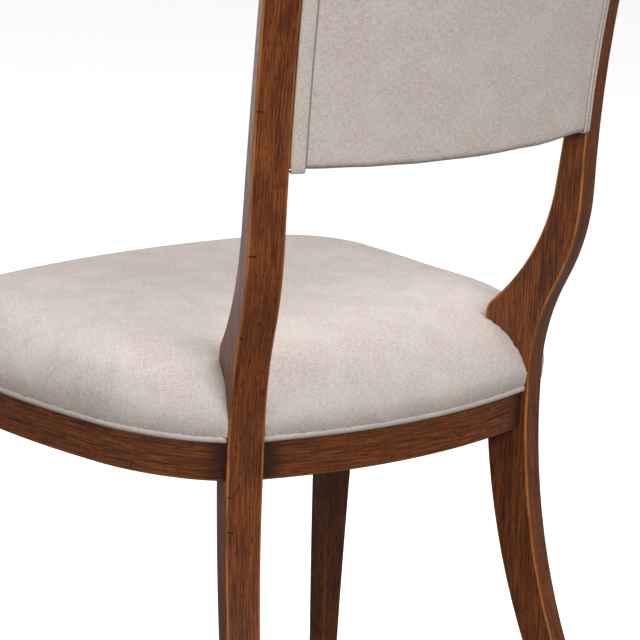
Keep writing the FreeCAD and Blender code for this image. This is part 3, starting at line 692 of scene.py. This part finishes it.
def seat_shape():
    """Crowned cushion, from the foam's plain solid."""
    seat = remeshed(copied("seat_foam"), SEAT_VOXEL)
    skin = [vert for vert in seat.verts if vert.co.z > COVER_BOTTOM - SKIN_SLACK]
    for _ in range(2):
        seat.normal_update()
        for vert in skin:
            shaped_as_crown(vert)
        smoothed(seat, 0.5)
    smoothed(seat, 0.5)
    seat.normal_update()
    for vert in skin:
        drawn_to_stiles(vert)
        if ring_place(vert.co.x, vert.co.y)[1] < TUCK_INSET:
            vert.co.z -= COVER_TUCK * soft(COVER_BOTTOM + TUCK_HEIGHT - vert.co.z, 0.0, TUCK_FADE)
    smoothed(seat, 0.3)
    layer = seat.verts.layers.float_vector.new("cloth")
    for vert in seat.verts:
        vert[layer] = on_cloth(vert.co)
    return seat


seat = finished("seat_cushion", seat_shape(), seat_cloth, ["seat_foam", "seat_cover"])

# Welt. A round cord in its own bias strip of the seat cloth, sewn along the bottom of the cover and
# stopped against each stile, where its end drops a little.
WELT_RADIUS = 0.00375
WELT_HEIGHT = 0.41325
WELT_DROOP = 0.0012
WELT_DROOP_RINGS = 5.0
WELT_REAR_END = 16.85
WELT_FRONT_END = 33.0
WELT_STEP = 1.5
WELT_SIDES = 12
WELT_TAPER = (0.35, 0.8)
WELT_SETBACKS = (0.0, 0.0012, 0.003)
WELT_PITCH = 1.7
WELT_CONTRAST = 0.9
WELT_YARNS = ((0.68, 0.61, 0.565, 1), (0.48, 0.42, 0.385, 1))

welt_cloth = oatmeal("oatmeal welt cloth", WELT_PITCH, *WELT_YARNS, WELT_CONTRAST)


def welt(name, node, first, last):
    """Welt between two headings of the ring, as a round tube with closed and drooping ends."""
    shape = bmesh.new()
    steps = round(abs(last - first) / WELT_STEP)
    shares = [0.0, 0.0] + [i / steps for i in range(steps + 1)] + [1.0, 1.0]
    radii = [*WELT_TAPER] + [1.0] * (steps + 1) + [*reversed(WELT_TAPER)]
    ring = None
    for i, (share, radius) in enumerate(zip(shares, radii)):
        point, out = ring_point(first + (last - first) * share)
        along = Vector((out.y, -out.x, 0.0))
        from_end = min(i, len(shares) - 1 - i)
        if from_end < len(WELT_SETBACKS):
            point = point + along.xy * WELT_SETBACKS[from_end] * (1.0 if i == from_end else -1.0)
        droop = WELT_DROOP * max(0.0, 1.0 - from_end / WELT_DROOP_RINGS) ** 2
        turned = Matrix((Vector((*out, 0.0)), Vector((0, 0, 1)), along)).transposed().to_4x4()
        turned.translation = (*point, WELT_HEIGHT - droop)
        made = bmesh.ops.create_circle(shape, cap_ends=False, segments=WELT_SIDES,
                                       radius=WELT_RADIUS * radius, matrix=turned)
        edges = list(dict.fromkeys(edge for vert in made["verts"] for edge in vert.link_edges))
        if ring:
            bmesh.ops.bridge_loops(shape, edges=ring + edges)
        ring = edges
    ends = [edge for edge in shape.edges if edge.is_boundary]
    bmesh.ops.holes_fill(shape, edges=ends, sides=0)
    bmesh.ops.recalc_face_normals(shape, faces=shape.faces)
    layer = shape.verts.layers.float_vector.new("cloth")
    for vert in shape.verts:
        way, inset, _ = ring_place(vert.co.x, vert.co.y)
        vert[layer] = (way + vert.co.z, way - vert.co.z + inset, 0.0)
    piece = finished(name, shape, welt_cloth, [node])


welt("seat_welt_back", "seat_welt_rear", -WELT_REAR_END, WELT_REAR_END)
welt("seat_welt_round_front", "seat_welt_front", WELT_FRONT_END, 360.0 - WELT_FRONT_END)

# Dust cover. One piece of black cambric, a thin woven lining, cut to the ring and stapled along its
# edge under the rails to close the seat from below. It sags a little between them.
CAMBRIC_CELLS = 28
CAMBRIC_SAG = 0.0022
CAMBRIC_RIPPLE = 0.0009
CAMBRIC_THICK = 0.0004
CAMBRIC_SPANS = ((0, -0.27, 0.27), (1, -0.28, 0.19))
CAMBRIC_BLACK = (0.012, 0.012, 0.013, 1)
CAMBRIC_GREY = (0.035, 0.035, 0.036, 1)
THREAD_DEPTH = 0.0003
UNDERSIDE = -0.5
CUT_WELD = 1e-6
SAG_INSETS = (0.016, 0.11)
RIPPLE_INSETS = (0.014, 0.03)
RIPPLES = 22.0

cambric = Finish("black cambric")
place = cambric.node("TexCoord", output="Object")
thread = cambric.cloudy(place, (1400.0, 1400.0, 1400.0), 1.0)
cambric_colour = cambric.mix(thread, CAMBRIC_BLACK, CAMBRIC_GREY)
cambric_bump = cambric.node("Bump", inputs={"Strength": 0.4, "Distance": THREAD_DEPTH, "Height": thread})
cambric.shine({"Base Color": cambric_colour, "Roughness": 0.95, "Normal": cambric_bump})


def dust_cover_shape():
    """Flat underside of the cambric, cut into small faces, that sags between the rails."""
    sheet = copied("dust_cover")
    sheet.normal_update()
    upper = [face for face in sheet.faces if face.normal.z > UNDERSIDE]
    bmesh.ops.delete(sheet, geom=upper, context="FACES")
    for axis, low, high in CAMBRIC_SPANS:
        normal = Vector((float(axis == 0), float(axis == 1), 0.0))
        for i in range(1, CAMBRIC_CELLS):
            spot = normal * (low + (high - low) * i / CAMBRIC_CELLS)
            everything = sheet.verts[:] + sheet.edges[:] + sheet.faces[:]
            bmesh.ops.bisect_plane(sheet, geom=everything, plane_co=spot, plane_no=normal, dist=CUT_WELD)
    for vert in sheet.verts:
        _, inset, _ = ring_place(vert.co.x, vert.co.y)
        loose = soft(inset, *SAG_INSETS)
        ripple = noise.noise(vert.co * RIPPLES) * CAMBRIC_RIPPLE * soft(inset, *RIPPLE_INSETS)
        vert.co.z -= CAMBRIC_SAG * loose + ripple
    return sheet


dust_cover = finished("dust_cover_cambric", dust_cover_shape(), cambric.material,
                      ["dust_cover"])
lining = dust_cover.modifiers.new("cloth", "SOLIDIFY")
lining.thickness = CAMBRIC_THICK
lining.offset = -1.0

# Back tablet. A curved pad between the stiles: foam in front, a flat tight cover behind, turned
# round its lower and upper edges, with a narrow folded band sewn down each end of the rear.
TABLET_AXIS = Vector((0.0, -0.165357, 0.0))
TABLET_RADIUS = 0.386367
TABLET_LOW, TABLET_HIGH = 0.671, 0.871
STILE_REAR_START = (0.041078, 0.609527)
STILE_REAR_RADIUS = 1.4
TABLET_PROUD = 0.002
TABLET_FRONT = -0.0395
TABLET_CROWN = 0.006
TABLET_ROLL = 0.007
TABLET_STEPS = 60
TABLET_END_GAP = math.radians(0.06)
TABLET_TURNED = (-0.008, -0.016)
SIDE_STEPS = 24
ROLL_STEPS = 6
FRONT_LIP = 0.016
FRONT_LIP_POWER = 7
FRONT_DRAWN = 0.02
FRONT_DRAWN_POWER = 6
END_SEAM = 0.1528
# The back's yarns are the seat cloth's painted about 8 % lighter: painted light on the rear of the tablet.
BACK_YARNS_PAINTED_LIGHTER = ((0.75, 0.66, 0.605, 1), (0.51, 0.435, 0.39, 1))

back_cloth_painted_lighter = oatmeal("oatmeal back cloth painted lighter", YARN_PITCH, *BACK_YARNS_PAINTED_LIGHTER, YARN_CONTRAST, END_SEAM)


def stile_rear(height):
    """How far behind its seat-level face the stile's rear edge lies at a height."""
    rise = height - STILE_REAR_START[1]
    return STILE_REAR_START[0] + STILE_REAR_RADIUS - math.sqrt(STILE_REAR_RADIUS**2 - rise**2)


def tablet_profile():
    """Side view of the pad as depths behind the stile's rear edge and heights."""
    tall = TABLET_HIGH - TABLET_LOW
    straight = tall - 2 * TABLET_ROLL
    rear = []
    for i in range(SIDE_STEPS + 1):
        rear.append((TABLET_PROUD, TABLET_LOW + TABLET_ROLL + straight * i / SIDE_STEPS))
    lower, upper = [], []
    for i in range(1, ROLL_STEPS):
        angle = math.radians(90 * i / ROLL_STEPS)
        sink = TABLET_ROLL * (1 - math.cos(angle))
        lower.append((TABLET_PROUD - sink, TABLET_LOW + TABLET_ROLL * (1 - math.sin(angle))))
        upper.append((TABLET_PROUD - sink, TABLET_HIGH - TABLET_ROLL * (1 - math.sin(angle))))
    front = []
    for i in range(SIDE_STEPS + 1):
        share = -1 + 2 * i / SIDE_STEPS
        depth = TABLET_FRONT - TABLET_CROWN * (1 - share * share) + FRONT_LIP * abs(share) ** FRONT_LIP_POWER
        drawn = 1 - FRONT_DRAWN * abs(share) ** FRONT_DRAWN_POWER
        front.append((depth, TABLET_LOW + tall / 2 + tall / 2 * share * drawn))
    flat_low = [(depth, TABLET_LOW) for depth in TABLET_TURNED]
    flat_high = [(depth, TABLET_HIGH) for depth in TABLET_TURNED]
    return rear + upper + flat_high + front[::-1] + flat_low[::-1] + lower[::-1]


CLOTH_TURN = 0.9
WAVES = (7.0, 10.0)
WAVE_DEPTH = 0.0004
WAVERS = 11.0
WAVER_DEPTH = 0.0009
WAVER_HEIGHT = 0.012


def tablet_shape():
    """Curved pad, its side view turned about the tablet's axis from stile to stile."""
    pad = bmesh.new()
    turn = STILE_TURN - TABLET_END_GAP
    start = Matrix.Rotation(-turn, 4, "Z")
    verts = []
    for depth, height in tablet_profile():
        reach = TABLET_RADIUS + stile_rear(height) + depth
        verts.append(pad.verts.new(TABLET_AXIS + start @ Vector((0.0, reach, height))))
    edges = [pad.edges.new(pair) for pair in zip(verts, verts[1:] + verts[:1])]
    bmesh.ops.spin(pad, geom=verts + edges, cent=TABLET_AXIS, axis=(0, 0, 1), angle=2 * turn,
                   steps=TABLET_STEPS, use_merge=False)
    bmesh.ops.holes_fill(pad, edges=[edge for edge in pad.edges if edge.is_boundary], sides=0)
    bmesh.ops.recalc_face_normals(pad, faces=pad.faces)
    layer = pad.verts.layers.float_vector.new("cloth")
    for vert in pad.verts:
        spoke = vert.co - TABLET_AXIS
        bearing = math.atan2(spoke.x, spoke.y)
        depth = spoke.xy.length - TABLET_RADIUS - stile_rear(vert.co.z)
        vert[layer] = (bearing * TABLET_RADIUS, vert.co.z + (TABLET_PROUD - depth) * CLOTH_TURN, 0.0)
        wave = noise.noise(Vector((bearing * WAVES[0], vert.co.z * WAVES[1], 0.4))) * WAVE_DEPTH
        waver = noise.noise(Vector((bearing * WAVERS, 3.1, 0.0))) * WAVER_DEPTH
        if vert.co.z < TABLET_LOW + WAVER_HEIGHT:
            vert.co.z += waver
        vert.co.xy += spoke.xy.normalized() * wave
    return pad


tablet = finished("back_tablet_pad", tablet_shape(), back_cloth_painted_lighter,
                  ["inside_back_cover", "outside_back_cover", "outside_back_wadding", "back_pad"])

# Narrow bands of the same cloth over both ends of the tablet's rear: side, width and how far each
# hangs below the pad.
BANDS = (("left", 1, 0.012, 0.003), ("right", -1, 0.0105, 0.001))
BAND_THICK = 0.0010
BAND_STEPS = 36
BAND_PROUD = 0.0024
BAND_STRAIGHT = 0.0020
BAND_CURL = ((0.0016, -0.0040), (0.0004, -0.0018), (0.0, 0.0002), (0.0006, 0.0016))
BAND_SECTION = ((0.0, -0.0008), (0.1, 0.0004), (0.3, 0.0009), (0.7, 0.0009), (0.9, 0.0004), (1.0, -0.0012))
BAND_CUT = (0.31, 0.17)


def band_shape(side, width, drop):
    """Folded edge band on one end of the tablet's rear, curled under its lower edge."""
    band = bmesh.new()
    turn = STILE_TURN - TABLET_END_GAP
    low = TABLET_LOW - drop
    tall = TABLET_HIGH - low - BAND_STRAIGHT
    spots = [(low + above, proud) for above, proud in BAND_CURL]
    spots += [(low + BAND_STRAIGHT + tall * i / BAND_STEPS, BAND_PROUD) for i in range(BAND_STEPS + 1)]
    rows = []
    for height, proud in spots:
        row = []
        for share, raised in BAND_SECTION:
            bearing = side * (turn - width / TABLET_RADIUS * share)
            reach = TABLET_RADIUS + stile_rear(height) + proud + raised
            spoke = Vector((math.sin(bearing), math.cos(bearing), 0.0)) * reach
            row.append(band.verts.new(TABLET_AXIS + spoke + Vector((0, 0, height))))
        rows.append([band.edges.new(pair) for pair in zip(row, row[1:])])
    for first, second in zip(rows, rows[1:]):
        bmesh.ops.bridge_loops(band, edges=first + second)
    bmesh.ops.recalc_face_normals(band, faces=band.faces)
    layer = band.verts.layers.float_vector.new("cloth")
    for vert in band.verts:
        bearing = math.atan2(vert.co.x - TABLET_AXIS.x, vert.co.y - TABLET_AXIS.y)
        vert[layer] = (bearing * TABLET_RADIUS + BAND_CUT[0], vert.co.z + BAND_CUT[1], 0.0)
    return band


for name, side, width, drop in BANDS:
    band = finished(f"tablet_edge_band_{name}", band_shape(side, width, drop), back_cloth_painted_lighter,
                    [f"back_band_{name}"])
    fold = band.modifiers.new("fold", "SOLIDIFY")
    fold.thickness = BAND_THICK
    fold.offset = -1.0

# Glides. One nylon disc under each foot, held by a nail moulded into it and scuffed by the floor. The
# flat lower faces carry the chair.
NYLON_SCUFFED = (0.33, 0.29, 0.22, 1)
NYLON_PALE = (0.46, 0.41, 0.33, 1)

nylon = Finish("nylon glide")
scuff = nylon.cloudy(nylon.node("TexCoord", output="Object"), (300.0, 300.0, 300.0), 3.0)
nylon_colour = nylon.mix(scuff, NYLON_SCUFFED, NYLON_PALE)
nylon.shine({"Base Color": nylon_colour, "Roughness": 0.45 + 0.3 * scuff})
coated(nylon.material, "floor_glides")

# Floor and backdrop. Plain and pale, white to the camera, with the chair's own shadow kept. To
# other rays both are dim, so that the softboxes do most of the lighting.
FLOOR_HALF = 6.0
FLOOR_PALE = (0.86, 0.86, 0.86, 1)
FLOOR_GLOW = 0.74
FLOOR_BOUNCE = (0.12, 0.12, 0.12, 1)
GLOSS_SHARE = 0.08
WHITE = (1.0, 1.0, 1.0, 1)
ROOM_LIGHT = 0.16
LAMP_COLOUR = (1.0, 0.99, 0.975)

floor_shape = bmesh.new()
bmesh.ops.create_grid(floor_shape, x_segments=1, y_segments=1, size=FLOOR_HALF)
floor_mesh = bpy.data.meshes.new("floor")
floor_shape.to_mesh(floor_mesh)
floor_shape.free()
floor = bpy.data.objects.new("floor", floor_mesh)
bpy.context.scene.collection.objects.link(floor)
paper = Finish("pale floor")
glossy = paper.node("LightPath", output="Is Glossy Ray")
seen = paper.node("LightPath", output="Is Camera Ray") + GLOSS_SHARE * glossy
lit = paper.node("BsdfDiffuse", inputs={"Color": FLOOR_PALE})
glow = paper.node("Emission", inputs={"Color": WHITE, "Strength": FLOOR_GLOW})
both = paper.node("AddShader", inputs={0: lit, 1: glow})
bounce = paper.node("BsdfDiffuse", inputs={"Color": FLOOR_BOUNCE})
surface = paper.node("MixShader", inputs={0: seen, 1: bounce, 2: both})
paper.node("OutputMaterial", inputs={"Surface": surface})
floor_mesh.materials.append(paper.material)

studio = Finish("studio", "worlds")
bpy.context.scene.world = studio.material
seen = studio.node("LightPath", output="Is Camera Ray")
room = studio.node("Background", inputs={"Color": WHITE, "Strength": ROOM_LIGHT})
backdrop = studio.node("Background", inputs={"Color": WHITE, "Strength": 1.0})
surface = studio.node("MixShader", inputs={0: seen, 1: room, 2: backdrop})
studio.node("OutputWorld", inputs={"Surface": surface})


def softbox(name, place, target, size, power):
    """Large soft lamp aimed at a point."""
    light = bpy.data.lights.new(name, "AREA")
    light.shape = "RECTANGLE"
    light.size, light.size_y = size
    light.energy = power
    light.color = LAMP_COLOUR
    lamp = bpy.data.objects.new(name, light)
    lamp.location = place
    lamp.rotation_mode = "QUATERNION"
    lamp.rotation_quaternion = (Vector(target) - Vector(place)).to_track_quat("-Z", "Y")
    bpy.context.scene.collection.objects.link(lamp)


softbox("overhead softbox", (-0.5, 0.1, 2.5), (0.0, 0.0, 0.5), (1.6, 1.6), 35.0)
softbox("left softbox", (2.3, 0.2, 1.5), (0.0, 0.0, 0.6), (0.9, 1.6), 22.0)
softbox("front low card", (0.1, -2.2, 0.4), (0.0, 0.0, 0.45), (1.0, 0.7), 5.0)
softbox("rear softbox", (0.4, 2.4, 2.2), (0.0, 0.1, 0.6), (1.4, 1.2), 55.0)

# Camera. A long lens well behind the chair, to its left and above its back, looking down at the rear
# corner of the seat. Its axes and its place come from the fit to the photograph.
SENSOR_WIDTH = 36.0
LENS = 192.9
CAMERA_PLACE = (2.01680, 2.46075, 1.33056)

camera_data = bpy.data.cameras.new("camera")
camera_data.sensor_width = SENSOR_WIDTH
camera_data.lens = LENS
camera = bpy.data.objects.new("camera", camera_data)
right = Vector((-0.77259, 0.63313, 0.04743))
up = Vector((-0.13210, -0.23337, 0.96337))
ahead = Vector((-0.62101, -0.73803, -0.26393))
view = Matrix((right, up, -ahead)).transposed().to_4x4()
view.translation = CAMERA_PLACE
camera.matrix_world = view
bpy.context.scene.collection.objects.link(camera)
bpy.context.scene.camera = camera
bpy.context.scene.view_settings.view_transform = "Standard"
